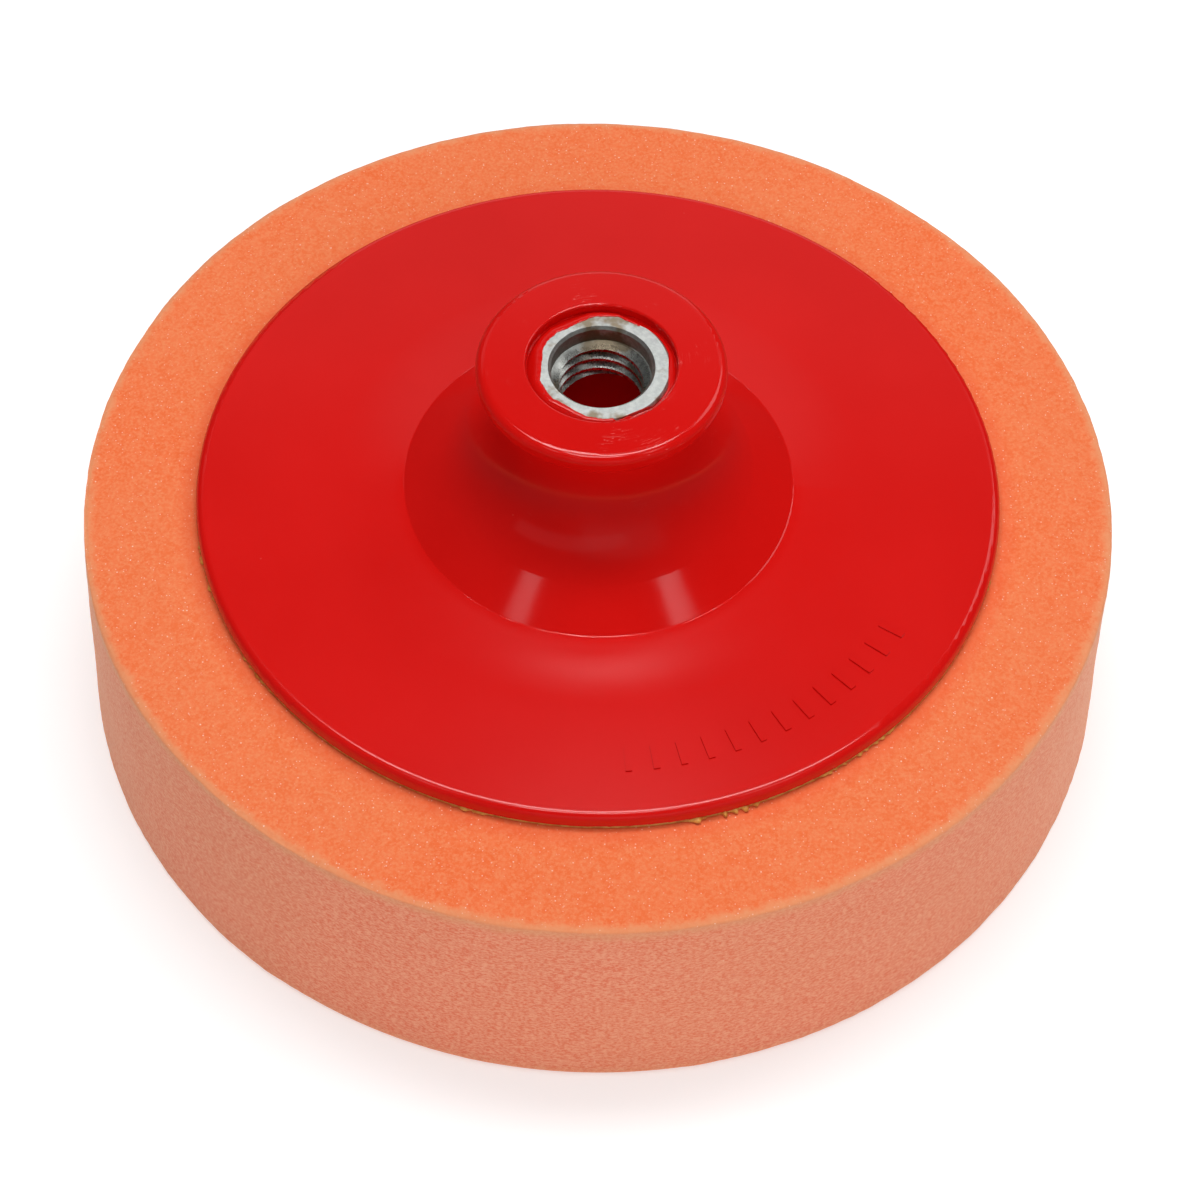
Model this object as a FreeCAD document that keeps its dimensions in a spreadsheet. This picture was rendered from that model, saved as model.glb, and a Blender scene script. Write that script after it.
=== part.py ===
import FreeCAD, Part
import math
import os
import Sketcher
from FreeCAD import Placement, Rotation, Vector

# Screw-on foam polishing head for a rotary polisher. +Z is the spindle axis and points at the machine;
# the origin is the centre of the foam's flat working face. All lengths are in millimetres.

doc = FreeCAD.newDocument("polishing_pad")

# ---------------------------------------------------------------------------------------------------
# Driving dimensions
# ---------------------------------------------------------------------------------------------------

DRIVING = {
    # foam disc: a slice of a very slight cone, wider at its working face
    "foam_face_dia": 151.0,
    "foam_back_dia": 149.0,
    "foam_height": 36.6,
    # film of glue between the foam's back and the plate's underside
    "glue_dia": 115.4,
    "glue_eye_dia": 54.0,
    "glue_film": 0.3,
    # plate: a flat disc with a trumpet-shaped neck and a hub flange, all one moulding
    "plate_dia": 116.2,
    "plate_thick": 2.35,
    "plate_edge_round": 1.2,
    "plate_foot_round": 0.3,
    "roll_dia": 76.0,
    "roll_rise": 0.5,
    "crease_dia": 56.2,
    "crease_round": 0.4,
    "cone_angle": 34.0,
    "waist_dia": 27.6,
    "waist_level": 59.5,
    "flange_dia": 35.2,
    "flange_foot_level": 62.6,
    "flange_foot_round": 1.4,
    "flange_edge_round": 1.3,
    "hub_level": 66.0,
    # recess around the insert's head
    "recess_dia": 21.2,
    "recess_depth": 1.6,
    "recess_round": 0.3,
    # blind clearance hole for the spindle's end, below the insert
    "spindle_hole_dia": 14.8,
    "spindle_hole_floor": 41.0,
    # cored underside: boss, trumpet wall and radial ribs
    "boss_dia": 21.6,
    "wall": 3.2,
    "core_top_level": 50.0,
    "rib_thick": 1.8,
    "rib_count": 8,
    "rib_root": 0.8,
    "rib_setback": 0.5,
    # raised tick marks on the plate
    "tick_ring_dia": 97.4,
    "tick_length": 3.8,
    "tick_width": 0.9,
    "tick_height": 0.25,
    "tick_count": 13,
    "tick_first_angle": 276.0,
    "tick_span": 53.0,
    # steel insert: hexagonal bar with turned corners and a retaining groove
    "insert_top_level": 65.1,
    "insert_height": 9.0,
    "insert_flats": 18.6,
    "insert_corner_dia": 19.5,
    "insert_chamfer": 0.3,
    "groove_dia": 17.4,
    "groove_width": 2.0,
    "groove_from_top": 4.4,
    "mouth_dia": 14.2,
    "mouth_depth": 2.6,
    "mouth_bevel": 0.4,
    "countersink_angle": 120.0,
    # M14 x 2 internal thread
    "thread_nominal": 14.0,
    "thread_pitch": 2.0,
    "thread_minor": 11.835,
    "thread_lead": 2.0,
    "thread_overcut": 0.3,
}

UNDERSIDE = "foam_height + glue_film"
PLATE_TOP = UNDERSIDE + " + plate_thick"
CREASE_LEVEL = PLATE_TOP + " + roll_rise"
INSERT_FOOT = "insert_top_level - insert_height"
GROOVE_TOP = "insert_top_level - groove_from_top"
GROOVE_FOOT = GROOVE_TOP + " - groove_width"
RECESS_FLOOR = "hub_level - recess_depth"

# The trumpet's arc leaves the waist upright and runs into a straight cone that ends at the crease, so
# its radius follows from how far the waist stands inside and above the crease. The cored wall follows
# the trumpet at an even thickness.
ARC_TURN = "( 90 - cone_angle )"
FLARE_RUN = "( crease_dia - waist_dia ) / 2"
FLARE_DROP = "( waist_level - ( " + CREASE_LEVEL + " ) )"
WORKED_OUT = {
    "flare_bend": "( " + FLARE_DROP + " - " + FLARE_RUN + " * tan( cone_angle ) )"
                  " / ( sin( " + ARC_TURN + " ) - ( 1 - cos( " + ARC_TURN + " ) ) * tan( cone_angle ) )",
    "cone_top_radius": "waist_dia / 2 + flare_bend * ( 1 - cos( " + ARC_TURN + " ) )",
    "cone_top_level": "waist_level - flare_bend * sin( " + ARC_TURN + " )",
    "under_flange_bend": "( ( flange_dia - waist_dia ) ^ 2 / 4 + ( flange_foot_level - waist_level ) ^ 2 )"
                         " / ( flange_dia - waist_dia )",
    "roll_bend": "( ( roll_dia - crease_dia ) ^ 2 / 4 + roll_rise ^ 2 ) / ( 2 * roll_rise )",
    "core_bend": "flare_bend + wall",
    "core_cone_radius": "cone_top_radius - wall * sin( cone_angle )",
    "core_cone_level": "cone_top_level - wall * cos( cone_angle )",
    "core_top_radius": "waist_dia / 2 + flare_bend"
                       " - sqrt( core_bend ^ 2 - ( waist_level - core_top_level ) ^ 2 )",
    "core_mouth_radius": "core_cone_radius"
                         " + ( core_cone_level - ( " + UNDERSIDE + " ) ) / tan( cone_angle )",
    "thread_root_half": "thread_pitch / 16",
    "thread_cutter_radius": "thread_minor / 2 - thread_overcut",
    "thread_cutter_half": "thread_root_half + ( thread_nominal / 2 - thread_cutter_radius ) * tan( 30 )",
}

sheet = doc.addObject("Spreadsheet::Sheet", "sizes")
ALIASES = list(DRIVING) + list(WORKED_OUT)
for row, alias in enumerate(ALIASES, start=1):
    sheet.set("A%d" % row, alias)
    sheet.set("B%d" % row, "%g" % DRIVING[alias] if alias in DRIVING else "=" + WORKED_OUT[alias])
    sheet.setAlias("B%d" % row, alias)
doc.recompute()


def value(formula):
    """What a formula in the sheet's aliases comes to."""
    return float(sheet.evalExpression(formula))


def bound(formula):
    """The same formula as another object's expression: each alias gets the sheet's name."""
    return " ".join("sizes." + word if word in ALIASES else word for word in formula.split())


# ---------------------------------------------------------------------------------------------------
# Helpers for bodies, sketches and features
# ---------------------------------------------------------------------------------------------------

ORIGIN_POINT = (-1, 1)
HORIZONTAL_AXIS, VERTICAL_AXIS = -1, -2
START, END, CENTRE = 1, 2, 3
LEFT, RIGHT = 1, -1


def new_body(label):
    body = doc.addObject("PartDesign::Body", label)
    body.Label = label
    body.Placement = Placement(Vector(0, 0, 0), Rotation())
    return body


def new_sketch(body, name, role, level=None):
    """A sketch on one of the body's own origin planes, lifted along +Z to a level when one is given."""
    sketch = body.newObject("Sketcher::SketchObject", name)
    plane = next(item for item in body.Origin.OriginFeatures if item.Role == role)
    sketch.AttachmentSupport = [(plane, "")]
    sketch.MapMode = "FlatFace"
    if level is not None:
        sketch.setExpression("AttachmentOffset.Base.z", bound(level))
    return sketch


def measure(sketch, kind, *elements, formula):
    """A sketch dimension whose value is bound to a formula."""
    dimension = sketch.addConstraint(Sketcher.Constraint(kind, *elements, value(formula)))
    sketch.setExpression("Constraints[%d]" % dimension, bound(formula))


def arc_between(sketch, here, there, bend, side):
    """An arc of radius bend with its centre to the left or right of the way from here to there.

    Returns the edge with the ends that lie at here and at there.
    """
    chord = there - here
    leftwards = Vector(-chord.y, chord.x, 0).normalize()
    reach = math.sqrt(bend ** 2 - (chord.Length / 2) ** 2)
    centre = (here + there) * 0.5 + leftwards * (reach * side)
    circle = Part.Circle(centre, Vector(0, 0, 1), bend)
    at_here = math.atan2(here.y - centre.y, here.x - centre.x)
    at_there = math.atan2(there.y - centre.y, there.x - centre.x)
    if side == LEFT:
        sweep = (at_there - at_here) % (2 * math.pi)
        return sketch.addGeometry(Part.ArcOfCircle(circle, at_here, at_here + sweep), False), START, END
    sweep = (at_here - at_there) % (2 * math.pi)
    return sketch.addGeometry(Part.ArcOfCircle(circle, at_there, at_there + sweep), False), END, START


def closed_outline(sketch, corners):
    """A closed outline through corners (radius, level), each a pair of formulas.

    A corner with two more entries, a bend and a side, is left along an arc instead of a straight line.
    """
    spots = [Vector(value(corner[0]), value(corner[1]), 0) for corner in corners]
    edges = []
    for corner, here, there in zip(corners, spots, spots[1:] + spots[:1]):
        if len(corner) == 2:
            edges.append((sketch.addGeometry(Part.LineSegment(here, there), False), START, END))
        else:
            edges.append(arc_between(sketch, here, there, value(corner[2]), corner[3]))
    for index, (edge, first, _) in enumerate(edges):
        previous, _, last = edges[index - 1]
        sketch.addConstraint(Sketcher.Constraint("Coincident", previous, last, edge, first))
    for corner, (edge, first, _) in zip(corners, edges):
        if len(corner) > 2:
            measure(sketch, "Radius", edge, formula=corner[2])
        if corner[0] == "0":
            sketch.addConstraint(Sketcher.Constraint("PointOnObject", edge, first, VERTICAL_AXIS))
        else:
            measure(sketch, "DistanceX", *ORIGIN_POINT, edge, first, formula=corner[0])
        measure(sketch, "DistanceY", *ORIGIN_POINT, edge, first, formula=corner[1])


def turn_about_axis(body, kind, name, sketch):
    """A full Revolution or Groove of a half-section about the Z axis."""
    turned = body.newObject("PartDesign::" + kind, name)
    turned.Profile = sketch
    turned.ReferenceAxis = (sketch, ["V_Axis"])
    turned.Angle = 360
    doc.recompute()
    return turned


def pad(body, name, sketch, height):
    raised = body.newObject("PartDesign::Pad", name)
    raised.Profile = sketch
    raised.setExpression("Length", bound(height))
    doc.recompute()
    return raised


def pocket(body, name, sketch, depth):
    """Cut straight down, along -Z, from a sketch on a level plane."""
    cut = body.newObject("PartDesign::Pocket", name)
    cut.Profile = sketch
    cut.setExpression("Length", bound(depth))
    doc.recompute()
    return cut


def must_shrink(feature, before):
    """A cut that points away from its solid removes nothing and raises nothing, so compare volumes."""
    assert feature.Shape.Volume < before - 0.01, feature.Name + " cuts nothing"


def circle_edges(feature, diameter, level):
    """Names of a feature's circular edges about the Z axis with this diameter and level, as formulas."""
    names = []
    for index, edge in enumerate(feature.Shape.Edges, start=1):
        curve = edge.Curve
        if not isinstance(curve, Part.Circle) or math.hypot(curve.Center.x, curve.Center.y) > 1e-4:
            continue
        if abs(curve.Radius * 2 - value(diameter)) < 1e-3 and abs(curve.Center.z - value(level)) < 1e-3:
            names.append("Edge%d" % index)
    assert names, "no edge of diameter %s at %s" % (diameter, level)
    return names


def fillet(body, name, radius, diameter, level):
    """Round the body's circular edge of this diameter and level."""
    base = body.Tip
    rounded = body.newObject("PartDesign::Fillet", name)
    rounded.Base = (base, circle_edges(base, diameter, level))
    rounded.setExpression("Radius", bound(radius))
    doc.recompute()
    return rounded


def polar_pattern(body, name, feature, count, span):
    """Repeat a feature about the Z axis, evenly over a span of degrees."""
    pattern = body.newObject("PartDesign::PolarPattern", name)
    pattern.Originals = [feature]
    axis = next(item for item in body.Origin.OriginFeatures if item.Role == "Z_Axis")
    pattern.Axis = (axis, [""])
    pattern.setExpression("Occurrences", bound(count))
    pattern.setExpression("Angle", bound(span))
    body.Tip = pattern
    doc.recompute()
    return pattern


# ---------------------------------------------------------------------------------------------------
# Foam disc and glue film
# ---------------------------------------------------------------------------------------------------

def make_foam_pad():
    """The open-cell foam block: one slightly tapered disc with a flat working face at level 0."""
    foam = doc.addObject("Part::Cone", "foam_pad")
    foam.Label = "foam_pad"
    foam.setExpression("Radius1", bound("foam_face_dia / 2"))
    foam.setExpression("Radius2", bound("foam_back_dia / 2"))
    foam.setExpression("Height", bound("foam_height"))
    return foam


def make_adhesive_layer():
    """The ring of glue that joins the foam's back to the flat part of the plate's underside."""
    discs = []
    for name, diameter in (("glue_disc", "glue_dia"), ("glue_eye", "glue_eye_dia")):
        disc = doc.addObject("Part::Cylinder", name)
        disc.setExpression("Radius", bound(diameter + " / 2"))
        disc.setExpression("Height", bound("glue_film"))
        disc.setExpression("Placement.Base.z", bound("foam_height"))
        discs.append(disc)
    ring = doc.addObject("Part::Cut", "adhesive_layer")
    ring.Label = "adhesive_layer"
    ring.Base, ring.Tool = discs
    return ring


# ---------------------------------------------------------------------------------------------------
# Backing plate
# ---------------------------------------------------------------------------------------------------

def turned_hexagon(sketch):
    """The insert's outline: six flats joined by six arcs about the axis.

    The insert and its seat in the plastic both use it, so their faces meet exactly.
    """
    flat = value("insert_flats / 2")
    corner = value("insert_corner_dia / 2")
    half_angle = math.acos(flat / corner)
    rim = Part.Circle(Vector(0, 0, 0), Vector(0, 0, 1), corner)
    flats = []
    arcs = []
    for side in range(6):
        facing = math.radians(60 * side)
        ends = [facing - half_angle, facing + half_angle]
        points = [Vector(corner * math.cos(angle), corner * math.sin(angle), 0) for angle in ends]
        flats.append(sketch.addGeometry(Part.LineSegment(*points), False))
        next_start = ends[0] + math.radians(60)
        arcs.append(sketch.addGeometry(Part.ArcOfCircle(rim, ends[1], next_start), False))
    for side in range(6):
        after = flats[(side + 1) % 6]
        sketch.addConstraint(Sketcher.Constraint("Coincident", flats[side], END, arcs[side], START))
        sketch.addConstraint(Sketcher.Constraint("Coincident", arcs[side], END, after, START))
        sketch.addConstraint(Sketcher.Constraint("Coincident", arcs[side], CENTRE, *ORIGIN_POINT))
    sketch.addConstraint(Sketcher.Constraint("Vertical", flats[0]))
    for side in range(1, 6):
        sketch.addConstraint(Sketcher.Constraint("Equal", flats[0], flats[side]))
    for side in range(1, 5):
        sketch.addConstraint(Sketcher.Constraint("Equal", arcs[0], arcs[side]))
    measure(sketch, "Radius", arcs[0], formula="insert_corner_dia / 2")
    measure(sketch, "DistanceX", *ORIGIN_POINT, flats[0], START, formula="insert_flats / 2")


def add_ribs(body):
    """Radial ribs between the boss and the trumpet's wall, rooted a little way into both."""
    profile = new_sketch(body, "rib_profile", "XZ_Plane")
    foot = UNDERSIDE + " + rib_setback"
    closed_outline(profile, [
        ("boss_dia / 2 - rib_root", foot),
        ("core_mouth_radius", foot),
        ("core_cone_radius + rib_root", "core_cone_level + rib_root"),
        ("core_top_radius + rib_root", "core_top_level + rib_root"),
        ("boss_dia / 2 - rib_root", "core_top_level + rib_root"),
    ])
    rib = pad(body, "rib", profile, "rib_thick")
    rib.SideType = "Symmetric"
    polar_pattern(body, "ribs", rib, "rib_count", "360")


def add_ticks(body):
    """Low raised strokes along a part of the plate's top, standing radially."""
    profile = new_sketch(body, "tick_profile", "XY_Plane", level=PLATE_TOP)
    profile.AttachmentOffset = Placement(Vector(0, 0, value(PLATE_TOP)), Rotation(Vector(0, 0, 1), 1))
    profile.setExpression("AttachmentOffset.Rotation.Angle", bound("tick_first_angle"))
    inner = value("( tick_ring_dia - tick_length ) / 2")
    outer = value("( tick_ring_dia + tick_length ) / 2")
    half = value("tick_width / 2")
    spots = [(inner, -half), (outer, -half), (outer, half), (inner, half)]
    corners = [Vector(x, y, 0) for x, y in spots]
    sides = [profile.addGeometry(Part.LineSegment(here, there), False)
             for here, there in zip(corners, corners[1:] + corners[:1])]
    for index, side in enumerate(sides):
        profile.addConstraint(Sketcher.Constraint("Coincident", sides[index - 1], END, side, START))
    for side in (sides[0], sides[2]):
        profile.addConstraint(Sketcher.Constraint("Horizontal", side))
    profile.addConstraint(Sketcher.Constraint("Vertical", sides[1]))
    profile.addConstraint(
        Sketcher.Constraint("Symmetric", sides[0], START, sides[3], START, HORIZONTAL_AXIS))
    measure(profile, "DistanceX", *ORIGIN_POINT, sides[0], START,
            formula="( tick_ring_dia - tick_length ) / 2")
    measure(profile, "DistanceX", sides[0], START, sides[0], END, formula="tick_length")
    measure(profile, "DistanceY", sides[1], START, sides[1], END, formula="tick_width")
    tick = pad(body, "tick", profile, "tick_height")
    polar_pattern(body, "ticks", tick, "tick_count", "tick_span")


def make_backing_plate():
    """The moulded plastic plate with its trumpet-shaped neck, hub flange and cored underside."""
    body = new_body("backing_plate")
    section = new_sketch(body, "plate_section", "XZ_Plane")
    closed_outline(section, [
        # blind spindle hole, seat of the insert, recess
        ("0", "spindle_hole_floor"),
        ("spindle_hole_dia / 2", "spindle_hole_floor"),
        ("spindle_hole_dia / 2", INSERT_FOOT),
        ("groove_dia / 2", INSERT_FOOT),
        ("groove_dia / 2", RECESS_FLOOR),
        ("recess_dia / 2", RECESS_FLOOR),
        ("recess_dia / 2", "hub_level"),
        # flange, waist, trumpet, plate
        ("flange_dia / 2", "hub_level"),
        ("flange_dia / 2", "flange_foot_level", "under_flange_bend", LEFT),
        ("waist_dia / 2", "waist_level", "flare_bend", LEFT),
        ("cone_top_radius", "cone_top_level"),
        ("crease_dia / 2", CREASE_LEVEL, "roll_bend", LEFT),
        ("roll_dia / 2", PLATE_TOP),
        ("plate_dia / 2", PLATE_TOP),
        ("plate_dia / 2", UNDERSIDE),
        # cored underside and boss
        ("core_mouth_radius", UNDERSIDE),
        ("core_cone_radius", "core_cone_level", "core_bend", RIGHT),
        ("core_top_radius", "core_top_level"),
        ("boss_dia / 2", "core_top_level"),
        ("boss_dia / 2", UNDERSIDE),
        ("0", UNDERSIDE),
    ])
    turn_about_axis(body, "Revolution", "plate_turned", section)
    fillet(body, "plate_edge", "plate_edge_round", "plate_dia", PLATE_TOP)
    fillet(body, "plate_foot", "plate_foot_round", "plate_dia", UNDERSIDE)
    fillet(body, "crease_blend", "crease_round", "crease_dia", CREASE_LEVEL)
    fillet(body, "flange_foot", "flange_foot_round", "flange_dia", "flange_foot_level")
    fillet(body, "flange_edge", "flange_edge_round", "flange_dia", "hub_level")
    fillet(body, "recess_lip", "recess_round", "recess_dia", "hub_level")

    solid = body.Shape.Volume
    upper_seat = new_sketch(body, "upper_seat_outline", "XY_Plane", level=RECESS_FLOOR)
    turned_hexagon(upper_seat)
    must_shrink(pocket(body, "upper_seat", upper_seat, RECESS_FLOOR + " - ( " + GROOVE_TOP + " )"), solid)
    solid = body.Shape.Volume
    lower_seat = new_sketch(body, "lower_seat_outline", "XY_Plane", level=GROOVE_FOOT)
    turned_hexagon(lower_seat)
    must_shrink(pocket(body, "lower_seat", lower_seat, GROOVE_FOOT + " - ( " + INSERT_FOOT + " )"), solid)

    add_ribs(body)
    add_ticks(body)
    return body


# ---------------------------------------------------------------------------------------------------
# Threaded insert
# ---------------------------------------------------------------------------------------------------

def bore_outline(sketch, diameter, stretches=8):
    """A circle about the axis drawn as equal arcs, so the bore's wall is made of as many faces."""
    radius = value(diameter) / 2
    circle = Part.Circle(Vector(0, 0, 0), Vector(0, 0, 1), radius)
    sweep = 2 * math.pi / stretches
    arcs = [sketch.addGeometry(Part.ArcOfCircle(circle, index * sweep, (index + 1) * sweep), False)
            for index in range(stretches)]
    for arc in arcs:
        sketch.addConstraint(Sketcher.Constraint("Coincident", arc, CENTRE, *ORIGIN_POINT))
    for before, after in zip(arcs, arcs[1:]):
        sketch.addConstraint(Sketcher.Constraint("Coincident", before, END, after, START))
    sketch.addConstraint(Sketcher.Constraint("PointOnObject", arcs[0], START, HORIZONTAL_AXIS))
    sketch.addConstraint(Sketcher.Constraint("PointOnObject", arcs[-1], END, HORIZONTAL_AXIS))
    measure(sketch, "Diameter", arcs[0], formula=diameter)


def make_threaded_insert():
    """The plated steel insert: turned hexagon, retaining groove, plain mouth and M14 x 2 thread."""
    body = new_body("threaded_insert")
    outline = new_sketch(body, "insert_outline", "XY_Plane", level=INSERT_FOOT)
    turned_hexagon(outline)
    pad(body, "insert_blank", outline, "insert_height")

    outside = "insert_corner_dia / 2 + insert_chamfer"
    cuts = {
        "retaining_groove": [
            ("groove_dia / 2", GROOVE_FOOT),
            (outside, GROOVE_FOOT),
            (outside, GROOVE_TOP),
            ("groove_dia / 2", GROOVE_TOP),
        ],
        "head_chamfer": [
            ("insert_corner_dia / 2 - insert_chamfer", "insert_top_level"),
            (outside, "insert_top_level - 2 * insert_chamfer"),
            (outside, "insert_top_level"),
        ],
    }
    for name, corners in cuts.items():
        solid = body.Shape.Volume
        section = new_sketch(body, name + "_section", "XZ_Plane")
        closed_outline(section, corners)
        must_shrink(turn_about_axis(body, "Groove", name, section), solid)

    solid = body.Shape.Volume
    bore = new_sketch(body, "bore_outline", "XY_Plane", level="insert_top_level")
    bore_outline(bore, "thread_minor")
    bored = pocket(body, "bore", bore, "insert_height")
    bored.Refine = False
    must_shrink(bored, solid)

    solid = body.Shape.Volume
    thread_start = INSERT_FOOT + " - thread_lead"
    cutter = new_sketch(body, "thread_cutter", "XZ_Plane")
    closed_outline(cutter, [
        ("thread_cutter_radius", thread_start + " - thread_cutter_half"),
        ("thread_nominal / 2", thread_start + " - thread_root_half"),
        ("thread_nominal / 2", thread_start + " + thread_root_half"),
        ("thread_cutter_radius", thread_start + " + thread_cutter_half"),
    ])
    thread = body.newObject("PartDesign::SubtractiveHelix", "thread")
    thread.Profile = cutter
    thread.ReferenceAxis = (cutter, ["V_Axis"])
    thread.Mode = "pitch-height-angle"
    thread.setExpression("Pitch", bound("thread_pitch"))
    thread.setExpression("Height", bound("insert_height - mouth_depth + 2 * thread_lead"))
    thread.LeftHanded = False
    thread.Reversed = False
    thread.Refine = False
    doc.recompute()
    must_shrink(thread, solid)

    solid = body.Shape.Volume
    sink_depth = "( mouth_dia - thread_minor ) / 2 / tan( countersink_angle / 2 )"
    mouth_floor = "insert_top_level - mouth_depth"
    mouth = new_sketch(body, "mouth_section", "XZ_Plane")
    closed_outline(mouth, [
        ("thread_cutter_radius", "insert_top_level"),
        ("thread_cutter_radius", mouth_floor + " - " + sink_depth),
        ("thread_minor / 2", mouth_floor + " - " + sink_depth),
        ("mouth_dia / 2", mouth_floor),
        ("mouth_dia / 2", "insert_top_level - mouth_bevel"),
        ("mouth_dia / 2 + mouth_bevel", "insert_top_level"),
    ])
    mouth_cut = turn_about_axis(body, "Groove", "mouth", mouth)
    mouth_cut.Refine = False
    must_shrink(mouth_cut, solid)
    return body


# ---------------------------------------------------------------------------------------------------
# Build, check and write
# ---------------------------------------------------------------------------------------------------

parts = [make_foam_pad(), make_adhesive_layer(), make_backing_plate(), make_threaded_insert()]
doc.recompute()

for item in doc.Objects:
    assert "Invalid" not in item.State and "Error" not in item.State, item.Name + " failed"
os.makedirs("parts", exist_ok=True)
for item in parts:
    shape = item.Shape
    assert not shape.isNull() and shape.isValid(), item.Label + " is not a valid shape"
for item in parts:
    print(item.Label, "solids", len(item.Shape.Solids), "volume %.1f mm3" % item.Shape.Volume)
    item.Shape.exportStep("parts/" + item.Label + ".step")
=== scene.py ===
"""Looks of the polishing pad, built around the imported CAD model.

Everything is in metres in the CAD's frame: +Z is the spindle's axis and z = 0 is the
foam's polishing face. MM turns a size that is easier to read in millimetres into metres.
"""
import math

import bpy
import numpy as np
from mathutils import Matrix, Vector, noise


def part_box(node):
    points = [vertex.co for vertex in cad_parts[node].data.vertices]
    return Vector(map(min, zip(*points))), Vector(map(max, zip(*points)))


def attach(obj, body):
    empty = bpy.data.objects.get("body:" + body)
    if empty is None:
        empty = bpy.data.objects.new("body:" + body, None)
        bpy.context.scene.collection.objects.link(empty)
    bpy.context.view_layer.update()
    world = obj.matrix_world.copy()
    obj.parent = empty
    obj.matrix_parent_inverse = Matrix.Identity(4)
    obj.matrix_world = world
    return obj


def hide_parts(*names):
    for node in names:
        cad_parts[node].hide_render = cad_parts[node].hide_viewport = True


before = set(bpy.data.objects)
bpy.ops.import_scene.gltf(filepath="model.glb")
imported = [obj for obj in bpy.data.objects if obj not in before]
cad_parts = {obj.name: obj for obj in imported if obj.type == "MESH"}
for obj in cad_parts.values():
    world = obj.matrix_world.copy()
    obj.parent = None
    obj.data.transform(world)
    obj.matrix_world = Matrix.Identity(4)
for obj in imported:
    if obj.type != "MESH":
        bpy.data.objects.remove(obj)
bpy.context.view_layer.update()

MM = 0.001

FOAM_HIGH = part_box("foam_pad")[1]
GLUE_LOW, GLUE_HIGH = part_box("adhesive_layer")
PLATE_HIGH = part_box("backing_plate")[1]

FOAM_TOP = FOAM_HIGH.z
FACE_RADIUS = FOAM_HIGH.x
BACK_RADIUS = FACE_RADIUS - 1.0 * MM       # the foam's side leans in by this much
PLATE_RADIUS = PLATE_HIGH.x
CREASE_RADIUS = 28.1 * MM                  # where the plate turns up into the flare
HUB_TOP = PLATE_HIGH.z
HUB_RADIUS = 17.6 * MM
RECESS_DEPTH = 1.6 * MM                    # of the recess round the insert, in the hub's face
INSERT_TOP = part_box("threaded_insert")[1].z
INSERT_FLAT = 9.3 * MM                     # from the axis to a flat of the hexagon
INSERT_CORNER = 9.75 * MM                  # and to its corners, which are turned round
FLASH_FOOT = 10.45 * MM                    # where the flash ends, inside the recess's wall
FLASH_SIDE = math.radians(168)             # the side of the insert that the flash covers most


# ---------------------------------------------------------------- camera and studio

def add_camera():
    """The photograph's view: from the front and above, through a long lens, with a slight roll."""
    distance = 0.5722
    elevation = math.radians(53.26)
    roll = math.radians(1.605)
    focal_length = 114.03                  # in millimetres, for a sensor 36 mm wide
    aim = Vector((0.000684, 0.0, 0.01082))  # a point on the lens's axis
    back = Vector((0, -math.cos(elevation), math.sin(elevation)))
    up = Vector((0, math.sin(elevation), math.cos(elevation)))
    right = Vector((1, 0, 0))
    right_rolled = math.cos(roll) * right + math.sin(roll) * up
    up_rolled = math.cos(roll) * up - math.sin(roll) * right
    data = bpy.data.cameras.new("photo_camera")
    data.sensor_width = 36
    data.lens = focal_length
    data.clip_start = 0.01
    camera = bpy.data.objects.new("photo_camera", data)
    bpy.context.scene.collection.objects.link(camera)
    turn = Matrix((right_rolled, up_rolled, back)).transposed()
    camera.matrix_world = Matrix.Translation(aim + distance * back) @ turn.to_4x4()
    bpy.context.scene.camera = camera


def direction(azimuth, elevation):
    """The unit vector towards a place in the studio; azimuth is from +X, both in degrees."""
    a = math.radians(azimuth)
    e = math.radians(elevation)
    return Vector((math.cos(a) * math.cos(e), math.sin(a) * math.cos(e), math.sin(e)))


def add_panel(name, azimuth, elevation, distance, size, radiance, mirrored=True):
    """A rectangular lamp that faces the part. size is (across, up) and radiance is what a
    mirror would show of it, where 1 is a white wall's brightness; a lamp that isn't
    mirrored lights the part without showing in its gloss."""
    data = bpy.data.lights.new(name, "AREA")
    data.shape = "RECTANGLE"
    data.size, data.size_y = size
    data.energy = math.pi * size[0] * size[1] * radiance
    lamp = bpy.data.objects.new(name, data)
    bpy.context.scene.collection.objects.link(lamp)
    towards = direction(azimuth, elevation)
    across = Vector((-towards.y, towards.x, 0)).normalized()
    turn = Matrix((across, towards.cross(across), towards)).transposed()
    lamp.matrix_world = Matrix.Translation(distance * towards) @ turn.to_4x4()
    lamp.visible_glossy = mirrored


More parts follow.
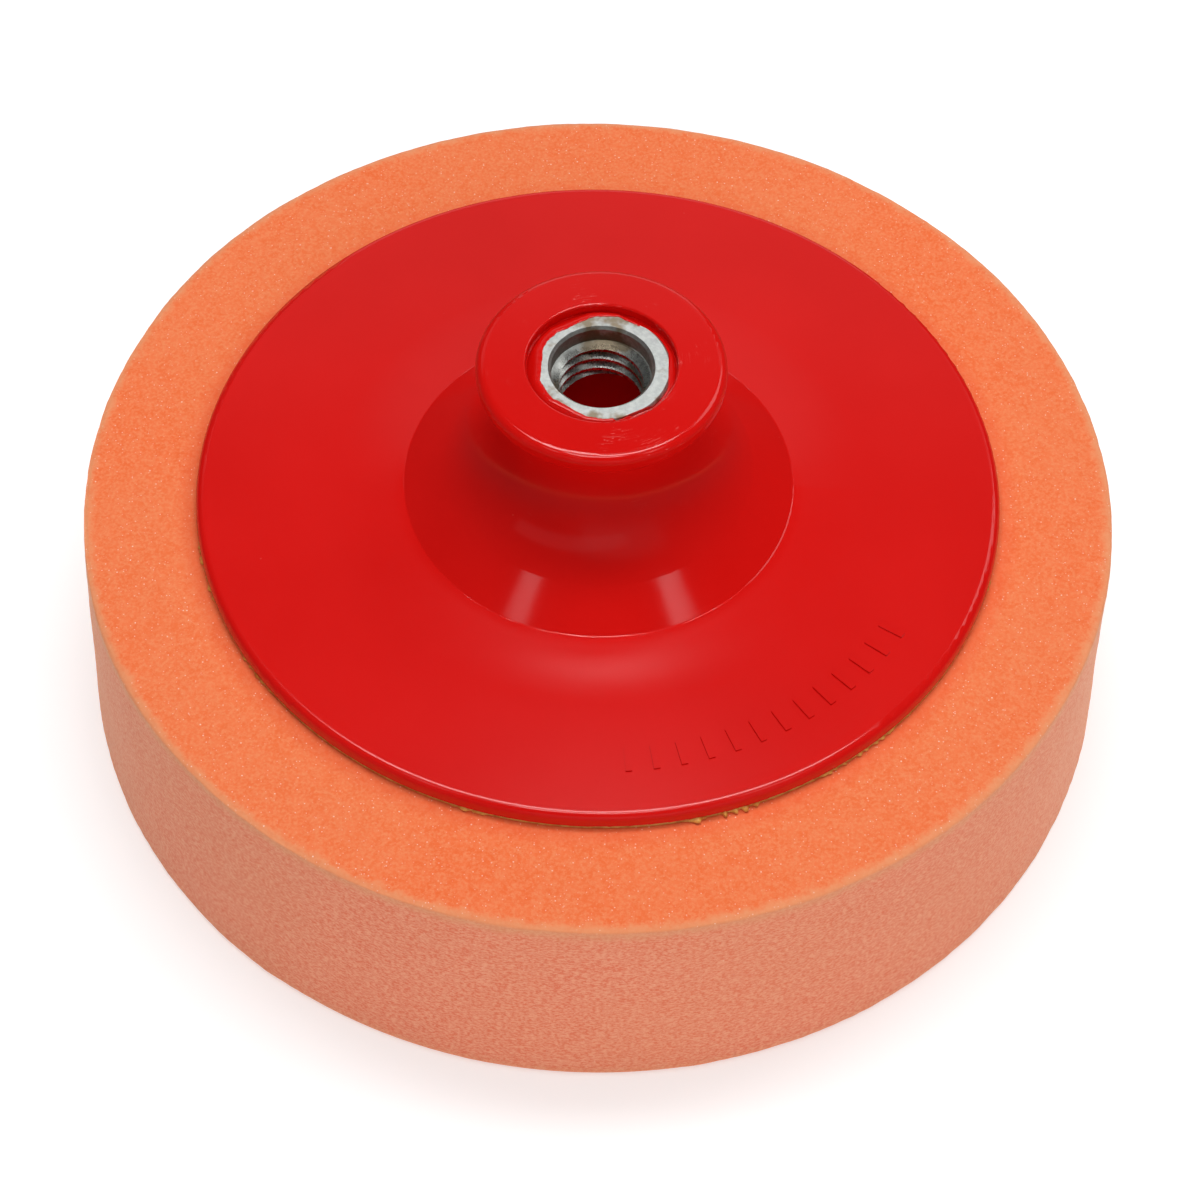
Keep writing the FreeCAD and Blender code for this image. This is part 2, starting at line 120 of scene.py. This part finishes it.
def light_studio():
    """Panels overhead, two windows in front, dim panels behind and low, and a front fill
    that only lights."""
    add_panel("overhead_soft", 90, 87, 1.6, (1.30, 0.90), 2.5, mirrored=False)
    add_panel("overhead", 90, 78, 1.6, (1.10, 0.32), 8.5)
    add_panel("overhead_core", -90, 82, 1.6, (0.50, 0.18), 8.0)
    add_panel("overhead_small", 89, 62, 1.6, (0.12, 0.14), 2.0)
    add_panel("window_left", -139, 57, 1.5, (0.20, 0.26), 1.5)
    add_panel("window_right", -35, 56, 1.5, (0.24, 0.28), 1.8)
    add_panel("back_right", 38, 48, 1.6, (0.7, 0.6), 1.8)
    add_panel("back_broad", 90, 44, 1.8, (2.2, 0.4), 0.32)
    add_panel("back_low", 90, 20, 1.8, (1.2, 0.9), 0.7)
    add_panel("front_band", -110, 26, 1.8, (3.0, 0.40), 0.13)
    add_panel("front_fill", -72, 22, 1.8, (2.0, 0.9), 1.7, mirrored=False)

    world = bpy.data.worlds.new("studio")
    bpy.context.scene.world = world
    world.use_nodes = True
    background = world.node_tree.nodes["Background"]
    background.inputs["Color"].default_value = (1, 1, 1, 1)
    background.inputs["Strength"].default_value = 0.04


def glowing_material(name, grey, glow, roughness, specular):
    """A plain grey that also gives off white light of its own."""
    material, shader, _ = new_material(name)
    shader.inputs["Base Color"].default_value = (grey, grey, grey, 1)
    shader.inputs["Emission Color"].default_value = (1, 1, 1, 1)
    shader.inputs["Emission Strength"].default_value = glow
    shader.inputs["Roughness"].default_value = roughness
    shader.inputs["Specular IOR Level"].default_value = specular
    return material


def add_floor():
    """A plain pale floor just under the polishing face, which the gloss doesn't mirror."""
    half = 3.0
    z = -0.2 * MM
    mesh = bpy.data.meshes.new("studio_floor")
    corners = [(-half, -half, z), (half, -half, z), (half, half, z), (-half, half, z)]
    mesh.from_pydata(corners, [], [(0, 1, 2, 3)])
    floor = bpy.data.objects.new("studio_floor", mesh)
    bpy.context.scene.collection.objects.link(floor)
    mesh.materials.append(glowing_material("floor_pale", grey=0.62, glow=0.5,
                                           roughness=0.9, specular=0.1))
    floor.visible_glossy = False


def add_backdrop():
    """A pale wall all round, far off, that only the camera sees: it lights nothing."""
    radius = 7.0
    dome = [(radius * math.cos(e), radius * math.sin(e)) for e in np.linspace(-0.4, 1.5, 16)]
    material = glowing_material("backdrop_pale", grey=0.0, glow=0.68,
                                roughness=0.5, specular=0.0)
    backdrop = linked(turned_mesh("studio_backdrop", dome, 64), material)
    backdrop.visible_diffuse = False
    backdrop.visible_glossy = False
    backdrop.visible_transmission = False
    backdrop.visible_shadow = False


# ---------------------------------------------------------------- node helpers

def new_material(name):
    """A material with one Principled shader."""
    material = bpy.data.materials.new(name)
    material.use_nodes = True
    return material, material.node_tree.nodes["Principled BSDF"], material.node_tree


def place(tree):
    """Object coordinates, which are the CAD's own metres."""
    return tree.nodes.new("ShaderNodeTexCoord").outputs["Object"]


def link(tree, source, target):
    """Joins an output to an input."""
    tree.links.new(source, target)


def parts_of(tree, vector):
    """The X, Y and Z of a vector, as sockets."""
    split = tree.nodes.new("ShaderNodeSeparateXYZ")
    link(tree, vector, split.inputs[0])
    return split.outputs["X"], split.outputs["Y"], split.outputs["Z"]


def maths(tree, operation, first, second=None, third=None):
    """A Math node; each value is a number or a socket."""
    made = tree.nodes.new("ShaderNodeMath")
    made.operation = operation
    for value, socket in zip((first, second, third), made.inputs):
        if value is None:
            continue
        if isinstance(value, (int, float)):
            socket.default_value = value
        else:
            link(tree, value, socket)
    return made.outputs[0]


def stretched(tree, vector, scale):
    """Coordinates multiplied by scale, a triple."""
    made = tree.nodes.new("ShaderNodeMapping")
    made.inputs["Scale"].default_value = scale
    link(tree, vector, made.inputs["Vector"])
    return made.outputs["Vector"]


def noise_of(tree, vector, scale, detail=2.0, roughness=0.5):
    """Cloudy noise from 0 to 1; scale is in waves per metre."""
    made = tree.nodes.new("ShaderNodeTexNoise")
    made.inputs["Scale"].default_value = scale
    made.inputs["Detail"].default_value = detail
    made.inputs["Roughness"].default_value = roughness
    link(tree, vector, made.inputs["Vector"])
    return made.outputs["Fac"]


def ramp(tree, value, low, high, to_low=0.0, to_high=1.0):
    """value carried from low..high to to_low..to_high, clamped and smooth."""
    made = tree.nodes.new("ShaderNodeMapRange")
    made.interpolation_type = "SMOOTHSTEP"
    made.inputs["From Min"].default_value = low
    made.inputs["From Max"].default_value = high
    made.inputs["To Min"].default_value = to_low
    made.inputs["To Max"].default_value = to_high
    link(tree, value, made.inputs["Value"])
    return made.outputs["Result"]


def mixed(tree, amount, first, second):
    """Two colours, each a triple or a socket, mixed by amount."""
    made = tree.nodes.new("ShaderNodeMix")
    made.data_type = "RGBA"
    factor, a, b = made.inputs[0], made.inputs[6], made.inputs[7]
    for value, socket in ((amount, factor), (first, a), (second, b)):
        if isinstance(value, (int, float)):
            socket.default_value = value
        elif isinstance(value, tuple):
            socket.default_value = (*value, 1)
        else:
            link(tree, value, socket)
    return made.outputs[2]


def bumped(tree, height, distance, strength=1.0, before=None):
    """A Bump node; before is the normal it starts from."""
    made = tree.nodes.new("ShaderNodeBump")
    made.inputs["Strength"].default_value = strength
    made.inputs["Distance"].default_value = distance
    link(tree, height, made.inputs["Height"])
    if before is not None:
        link(tree, before, made.inputs["Normal"])
    return made.outputs["Normal"]


def radius_of(tree, at):
    """The distance from the spindle's axis, in metres."""
    x, y, _ = parts_of(tree, at)
    return maths(tree, "SQRT", maths(tree, "MULTIPLY_ADD", y, y, maths(tree, "MULTIPLY", x, x)))


# ---------------------------------------------------------------- materials

def sparkles(tree, at, scale, share, reach):
    """Small spots, one in each of a share of the Voronoi cells; reach is in cell widths."""
    cells = tree.nodes.new("ShaderNodeTexVoronoi")
    cells.inputs["Scale"].default_value = scale
    link(tree, at, cells.inputs["Vector"])
    draw = tree.nodes.new("ShaderNodeSeparateColor")
    link(tree, cells.outputs["Color"], draw.inputs[0])
    chosen = maths(tree, "GREATER_THAN", draw.outputs[0], 1.0 - share)
    near = ramp(tree, cells.outputs["Distance"], 0.3 * reach, reach, 1.0, 0.0)
    strength = ramp(tree, draw.outputs[1], 0.0, 1.0, 0.25, 1.0)
    return maths(tree, "MULTIPLY", maths(tree, "MULTIPLY", chosen, near), strength)


def foam_material():
    """Open-cell polyurethane: fine cells, a soft mottle, and cell walls that glint, the glints
    painted into the colour as pale spots.

    The cut side and the corners are paler and fuzzier than the back. The side's paleness is
    partly its own fibre and partly painted light shining through the foam; the top corner's
    is its fuzz with a painted glow, and the bottom edge's is painted bounce light from the
    floor. Beside the plate, where the foam is pressed in, the back is darker with painted
    shade of the plate's rim.
    """
    deep_orange, orange, light_orange = (0.88, 0.150, 0.038), (0.9, 0.185, 0.06), (0.9, 0.25, 0.10)
    # the side's paler colour is partly its own cut fibre and partly painted light shining through
    # the foam
    side_dark, side_pale = (0.86, 0.18, 0.085), (0.94, 0.37, 0.22)
    # the darker, redder colour beside the plate is painted shade of the plate's rim
    faded, painted_rim_shade = (0.8, 0.3, 0.13), (0.80, 0.115, 0.04)
    # the pale edge colour is fuzz plus a painted glow at the top corner, and painted bounce light
    # from the floor at the bottom edge
    edge_fuzz_and_painted_light, painted_glint_colour = (0.83, 0.36, 0.175), (1.0, 0.84, 0.72)
    material, shader, tree = new_material("orange_foam")
    at = place(tree)
    radius = radius_of(tree, at)
    height = parts_of(tree, at)[2]
    facing_up = parts_of(tree, tree.nodes.new("ShaderNodeNewGeometry").outputs["Normal"])[2]
    on_side = ramp(tree, maths(tree, "ABSOLUTE", facing_up), 0.25, 0.9, 1.0, 0.0)

    fine = noise_of(tree, at, 2100, 2.0, 0.6)
    grain = noise_of(tree, at, 900, 2.0, 0.5)
    mottle = noise_of(tree, at, 560, 3.0, 0.65)
    drift = noise_of(tree, at, 28, 2.0)
    wander = maths(tree, "MULTIPLY_ADD", mottle, 2.4 * MM, -1.2 * MM)

    back = mixed(tree, ramp(tree, mottle, 0.35, 0.65), deep_orange, orange)
    back = mixed(tree, ramp(tree, fine, 0.35, 0.75), back, light_orange)
    fibre = noise_of(tree, stretched(tree, at, (1.0, 1.0, 1.8)), 1800, 3.0, 0.65)
    side = mixed(tree, ramp(tree, fibre, 0.36, 0.64), side_dark, side_pale)
    body = mixed(tree, on_side, back, side)
    body = mixed(tree, ramp(tree, drift, 0.35, 0.65, 0.0, 0.12), body, faded)

    # painted shade: the foam beside the plate's rim is darkened and reddened
    painted_shade_beside_plate = ramp(tree, maths(tree, "ADD", radius, wander),
                        PLATE_RADIUS + 0.1 * MM, PLATE_RADIUS + 3.9 * MM, 0.55, 0.0)
    body = mixed(tree, painted_shade_beside_plate, body, painted_rim_shade)
    # the top corner is paler for its fuzz and a painted glow; the bottom edge is paler with
    # painted bounce light from the floor
    corner_out = ramp(tree, maths(tree, "ADD", radius, wander),
                      BACK_RADIUS - 1.9 * MM, BACK_RADIUS - 0.2 * MM)
    corner_up = ramp(tree, maths(tree, "ADD", height, wander),
                     FOAM_TOP - 3.0 * MM, FOAM_TOP - 0.6 * MM)
    corner_fuzz_and_glow = maths(tree, "MULTIPLY", corner_out, corner_up)
    painted_floor_bounce = ramp(tree, height, 0.0, 2.5 * MM, 0.6, 0.0)
    wear_and_edge_light = maths(tree, "MAXIMUM", corner_fuzz_and_glow, painted_floor_bounce)
    body = mixed(tree, maths(tree, "MULTIPLY", wear_and_edge_light, 0.6), body, edge_fuzz_and_painted_light)

    bunched = ramp(tree, noise_of(tree, at, 240, 2.0), 0.42, 0.62, 0.35, 1.0)
    # painted highlights: pale spots in the colour where cell walls would glint, in bunches and
    # fewer on the side
    painted_glints = maths(tree, "MULTIPLY", sparkles(tree, at, 1700, 0.16, 0.27), bunched)
    painted_glints = maths(tree, "MAXIMUM", painted_glints, sparkles(tree, at, 2600, 0.14, 0.30))
    painted_glints = maths(tree, "MULTIPLY", painted_glints, ramp(tree, on_side, 0.0, 1.0, 0.75, 0.25))
    body = mixed(tree, painted_glints, body, painted_glint_colour)
    link(tree, body, shader.inputs["Base Color"])

    normal = bumped(tree, maths(tree, "ADD", fine, grain), 0.10 * MM, 0.5)
    normal = bumped(tree, mottle, 0.22 * MM, 0.4, normal)
    link(tree, normal, shader.inputs["Normal"])
    shader.inputs["Roughness"].default_value = 0.85
    shader.inputs["Specular IOR Level"].default_value = 0.25
    shader.inputs["Sheen Weight"].default_value = 0.35
    shader.inputs["Sheen Roughness"].default_value = 0.45
    shader.inputs["Sheen Tint"].default_value = (1.0, 0.75, 0.55, 1)
    return material


def glue_material():
    """Contact adhesive that was squeezed out and went yellow."""
    amber, yellow = (0.62, 0.2, 0.03), (0.8, 0.42, 0.09)
    material, shader, tree = new_material("yellow_glue")
    at = place(tree)
    tone = noise_of(tree, at, 600, 3.0, 0.6)
    colour = mixed(tree, ramp(tree, tone, 0.35, 0.65), amber, yellow)
    link(tree, colour, shader.inputs["Base Color"])
    link(tree, bumped(tree, noise_of(tree, at, 1500, 2.0), 0.2 * MM, 0.6), shader.inputs["Normal"])
    shader.inputs["Roughness"].default_value = 0.4
    return material


def arc_scratches(tree, at):
    """Hair scratches that run round the axis, in patches, as if wiped or spun against."""
    along = 0.55 * MM                      # a radian's length in the noise: less, longer hairs
    upward = 0.6
    x, y, z = parts_of(tree, at)
    turn = maths(tree, "ARCTAN2", y, x)
    polar = tree.nodes.new("ShaderNodeCombineXYZ")
    link(tree, radius_of(tree, at), polar.inputs["X"])
    link(tree, maths(tree, "MULTIPLY", turn, along), polar.inputs["Y"])
    link(tree, maths(tree, "MULTIPLY", z, upward), polar.inputs["Z"])
    hairs = noise_of(tree, polar.outputs[0], 4200, 1.0, 0.4)
    off_middle = maths(tree, "ABSOLUTE", maths(tree, "SUBTRACT", hairs, 0.5))
    lines = ramp(tree, off_middle, 0.0, 0.012, 1.0, 0.0)
    patches = ramp(tree, noise_of(tree, at, 170, 3.0, 0.6), 0.57, 0.67)
    return maths(tree, "MULTIPLY", lines, patches)


def red_plastic_material():
    """Moulded plastic: polished hub and flare, satin plate, fine scratches, rubbed spots."""
    red, light_red, scratched = (0.65, 0.0045, 0.003), (0.68, 0.006, 0.0045), (0.85, 0.33, 0.30)
    material, shader, tree = new_material("red_plastic")
    at = place(tree)
    radius = radius_of(tree, at)
    cloud = noise_of(tree, at, 40, 3.0, 0.5)
    speck = noise_of(tree, at, 2500, 2.0, 0.6)
    colour = mixed(tree, ramp(tree, cloud, 0.3, 0.7), red, light_red)
    near_hub = ramp(tree, radius, HUB_RADIUS - 0.6 * MM, HUB_RADIUS + 0.4 * MM, 1.0, 0.12)
    height = parts_of(tree, at)[2]
    on_hub = ramp(tree, height, HUB_TOP - 3 * MM, HUB_TOP - 1 * MM, 0.12, 1.0)
    wear_and_edge_light = maths(tree, "MULTIPLY", arc_scratches(tree, at), near_hub)
    nicks = maths(tree, "MULTIPLY", sparkles(tree, at, 420, 0.03, 0.08), 0.4)
    wear_and_edge_light = maths(tree, "MAXIMUM", maths(tree, "MULTIPLY", wear_and_edge_light, on_hub), nicks)
    colour = mixed(tree, maths(tree, "MULTIPLY", wear_and_edge_light, 0.5), colour, scratched)
    link(tree, colour, shader.inputs["Base Color"])
    satin = ramp(tree, radius, CREASE_RADIUS - 0.1 * MM, CREASE_RADIUS + 1.9 * MM, 0.11, 0.16)
    gloss = maths(tree, "ADD", satin, ramp(tree, speck, 0.3, 0.7, -0.015, 0.025))
    gloss = maths(tree, "ADD", gloss, maths(tree, "MULTIPLY", wear_and_edge_light, 0.25))
    link(tree, gloss, shader.inputs["Roughness"])
    wave = noise_of(tree, at, 90, 2.0, 0.5)
    normal = bumped(tree, wave, 0.012 * MM, 0.5)
    normal = bumped(tree, speck, 0.0012 * MM, 0.5, normal)
    link(tree, normal, shader.inputs["Normal"])
    return material


def plated_steel_material():
    """Zinc plating: a dull pale top, glossier threads, turning marks and brown stains."""
    bare_dark, bare_light = (0.58, 0.59, 0.55), (0.74, 0.76, 0.72)
    zinc_dark, zinc_light = (0.66, 0.69, 0.67), (0.80, 0.83, 0.80)
    brown = (0.36, 0.27, 0.16)
    material, shader, tree = new_material("zinc_plating")
    at = place(tree)
    height = parts_of(tree, at)[2]
    on_top = ramp(tree, height, INSERT_TOP - 0.15 * MM, INSERT_TOP - 0.05 * MM)
    cloud = noise_of(tree, at, 150, 4.0, 0.6)
    fine = noise_of(tree, at, 1500, 4.0, 0.7)
    bare = mixed(tree, ramp(tree, fine, 0.35, 0.65), bare_dark, bare_light)
    zinc = mixed(tree, ramp(tree, fine, 0.35, 0.65), zinc_dark, zinc_light)
    colour = mixed(tree, on_top, bare, zinc)
    stain = ramp(tree, cloud, 0.50, 0.60, 0.0, 0.85)
    colour = mixed(tree, stain, colour, brown)
    link(tree, colour, shader.inputs["Base Color"])
    shader.inputs["Metallic"].default_value = 1.0
    gloss = ramp(tree, fine, 0.3, 0.7, -0.02, 0.04)
    above_thread = ramp(tree, height, INSERT_TOP - 3.0 * MM, INSERT_TOP - 2.5 * MM)
    base_gloss = ramp(tree, above_thread, 0.0, 1.0, 0.26, 0.46)
    gloss = maths(tree, "ADD", gloss, base_gloss)
    link(tree, gloss, shader.inputs["Roughness"])
    rings = noise_of(tree, stretched(tree, at, (0.12, 0.12, 1.0)), 5200, 2.0, 0.6)
    normal = bumped(tree, rings, 0.012 * MM, 0.6)
    normal = bumped(tree, fine, 0.006 * MM, 0.5, normal)
    link(tree, normal, shader.inputs["Normal"])
    return material


# ---------------------------------------------------------------- pieces

def turned_mesh(name, profile, segments, shape=None):
    """A closed mesh turned about Z. profile is (radius, z) from the lower pole to the upper,
    without the poles; shape moves the (rings, segments, 3) grid of points."""
    angles = np.linspace(0, 2 * np.pi, segments, endpoint=False)
    radius = np.array([p[0] for p in profile])[:, None]
    level = np.array([p[1] for p in profile])[:, None]
    grid = np.stack([radius * np.cos(angles), radius * np.sin(angles),
                     level + 0 * angles], axis=-1)
    if shape is not None:
        grid = shape(grid)
    rings = len(profile)
    poles = np.array([[0, 0, grid[0, :, 2].mean()], [0, 0, grid[-1, :, 2].mean()]])
    points = np.vstack([grid.reshape(-1, 3), poles])
    lower_pole = rings * segments
    faces = []
    for s in range(segments):
        t = (s + 1) % segments
        faces.append((lower_pole, t, s))
        for r in range(rings - 1):
            a = r * segments
            b = a + segments
            faces.append((a + s, a + t, b + t, b + s))
        top = (rings - 1) * segments
        faces.append((lower_pole + 1, top + s, top + t))
    mesh = bpy.data.meshes.new(name)
    mesh.from_pydata(points.tolist(), [], faces)
    mesh.shade_smooth()
    return mesh


def ring_mesh(name, points, row, segments):
    """A closed ring through the points of its cross-sections, row points in each."""
    faces = []
    for s in range(segments):
        t = (s + 1) % segments
        for k in range(row):
            m = (k + 1) % row
            faces.append((s * row + k, t * row + k, t * row + m, s * row + m))
    mesh = bpy.data.meshes.new(name)
    mesh.from_pydata(points, [], faces)
    mesh.shade_smooth()
    return mesh


def linked(mesh, material):
    """An object of the mesh, in the scene and with its material."""
    piece = bpy.data.objects.new(mesh.name, mesh)
    bpy.context.scene.collection.objects.link(piece)
    mesh.materials.append(material)
    return piece


def arc_points(centre, radius, start, end, count):
    """Points of an arc in the (radius, z) plane; angles in degrees."""
    return [(centre[0] + radius * math.cos(math.radians(a)),
             centre[1] + radius * math.sin(math.radians(a)))
            for a in np.linspace(start, end, count)]


def foam_profile():
    """The foam's outline from the polishing face round to the glued face.

    Its points are close together where the foam shows, and sparse underneath.
    """
    edge = 0.9 * MM                        # the radius of both edges
    step = 0.62 * MM
    points = [(r * MM, 0.0) for r in (8, 16, 24, 32, 40, 48, 55, 61, 66, 69.5, 72, 73.5)]
    points += arc_points((FACE_RADIUS - edge, edge), edge, -90, 0, 5)
    low = edge + step
    high = FOAM_TOP - edge
    rows = round((high - low) / step)
    for k in range(rows):
        z = low + (high - low) * k / rows
        points.append((FACE_RADIUS + (BACK_RADIUS - FACE_RADIUS) * z / FOAM_TOP, z))
    points += arc_points((BACK_RADIUS - edge, high), edge, 0, 90, 5)
    inner = PLATE_RADIUS - 2.1 * MM
    outer = BACK_RADIUS - edge
    rows = round((outer - inner) / step)
    points += [(outer + (inner - outer) * k / rows, FOAM_TOP) for k in range(1, rows + 1)]
    points += [(r * MM, FOAM_TOP) for r in (50, 42, 34, 26, 18, 9)]
    return points


def uneven_foam(grid):
    """Foam is cut with a wire and is never quite true: slow waves and a fine grain.

    Under the plate it stays as it is, and beside the plate it is pressed in a little.
    """
    still = PLATE_RADIUS - 1.1 * MM        # the radius inside which nothing moves
    fade = 2 * MM
    skin = 0.5 * MM                        # nearer to a face than this isn't the side
    pressed = 0.25 * MM
    flat = grid.reshape(-1, 3)
    out = flat.copy()
    for i, (x, y, z) in enumerate(flat):
        r = math.hypot(x, y)
        if r < still:
            continue
        spot = Vector((x, y, z))
        slow = noise.noise(spot * 45) * 0.22 * MM + noise.noise(spot * 160) * 0.09 * MM
        grain = noise.noise(spot * 700) * 0.07 * MM
        if skin < z < FOAM_TOP - skin:
            push = (slow + grain) / r
            out[i, 0] += x * push
            out[i, 1] += y * push
        elif z >= FOAM_TOP - skin:
            away = min(1.0, (r - still) / fade)
            out[i, 2] += away * (0.6 * slow + grain) - pressed * away
    return out.reshape(grid.shape)


def make_foam():
    """The foam disc in place of the CAD's plain one."""
    mesh = turned_mesh("foam_disc", foam_profile(), 720, uneven_foam)
    foam = linked(mesh, foam_material())
    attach(foam, "root")
    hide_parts("foam_pad")


def glue_swell(angle):
    """How far the glue was pressed out at an angle about the axis, from 0 to about 1."""
    spot = Vector((math.cos(angle), math.sin(angle), 0.3))
    slow = max(0.0, noise.noise(spot * 6) - 0.12)
    crumbs = max(0.0, noise.noise(spot * 80) + 0.1)
    return min(1.0, 3.5 * slow * crumbs)


def make_glue():
    """The glue film with the ragged bead that was pressed out round the plate's edge."""
    segments = 1440
    bottom = GLUE_LOW.z
    eye = 27 * MM                          # the radius of the film's open middle
    points = []
    for a in np.linspace(0, 2 * np.pi, segments, endpoint=False):
        swell = glue_swell(a)
        reach = PLATE_RADIUS + (-0.15 + 0.75 * swell) * MM
        thick = (0.3 + 0.35 * swell) * MM
        ring = [(eye, bottom), (reach, bottom), (reach + 0.08 * MM, bottom + 0.35 * thick),
                (reach - 0.2 * MM, bottom + 0.85 * thick),
                (PLATE_RADIUS - 0.4 * MM, bottom + thick),
                (PLATE_RADIUS - 1.0 * MM, GLUE_HIGH.z), (eye, GLUE_HIGH.z)]
        points += [(r * math.cos(a), r * math.sin(a), z) for r, z in ring]
    glue = linked(ring_mesh("glue_bead", points, len(ring), segments), glue_material())
    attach(glue, "root")
    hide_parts("adhesive_layer")


def insert_edge(angle):
    """The radius of the insert's hexagonal outline at an angle about the axis."""
    from_flat = (angle + math.pi / 6) % (math.pi / 3) - math.pi / 6
    return min(INSERT_CORNER, INSERT_FLAT / math.cos(from_flat))


def make_flash(material):
    """Moulding flash: a thin lip of the hub's plastic that crept over the insert's rim.

    cover is how far it reaches over the insert, in millimetres; where it is 0 the lip
    sinks to the recess's floor.
    """
    segments = 360
    floor = HUB_TOP - RECESS_DEPTH
    points = []
    for a in np.linspace(0, 2 * np.pi, segments, endpoint=False):
        spot = Vector((math.cos(a), math.sin(a), 0.7))
        lean = math.cos(a - FLASH_SIDE)
        cover = 0.42 + 0.62 * lean + 0.22 * noise.noise(spot * 5) + 0.10 * noise.noise(spot * 22)
        cover = max(0.0, cover)
        grown = min(1.0, cover / 0.25)
        edge = insert_edge(a)
        lip = 0.10 + 0.03 * noise.noise(spot * 30)
        crest = floor + 0.02 * MM + grown * (INSERT_TOP + lip * MM - floor)
        inner = edge + 0.02 * MM - cover * MM
        ring = [(inner, crest - 0.3 * MM), (inner, crest - 0.03 * MM),
                (inner + 0.06 * MM, crest), (edge + 0.10 * MM, crest - 0.02 * MM),
                (edge + 0.35 * MM, floor + (crest - floor) * 0.35),
                (FLASH_FOOT, floor + 0.01 * MM), (FLASH_FOOT, floor - 0.1 * MM)]
        points += [(r * math.cos(a), r * math.sin(a), z) for r, z in reversed(ring)]
    flash = linked(ring_mesh("hub_flash", points, len(ring), segments), material)
    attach(flash, "root")


def dress(name, material):
    """Gives a CAD node its material, in the slots it has."""
    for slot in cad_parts[name].material_slots:
        slot.material = material


add_camera()
light_studio()
add_floor()
add_backdrop()
make_foam()
make_glue()
plastic = red_plastic_material()
dress("backing_plate", plastic)
make_flash(plastic)
dress("threaded_insert", plated_steel_material())

bpy.context.scene.view_settings.view_transform = "Standard"
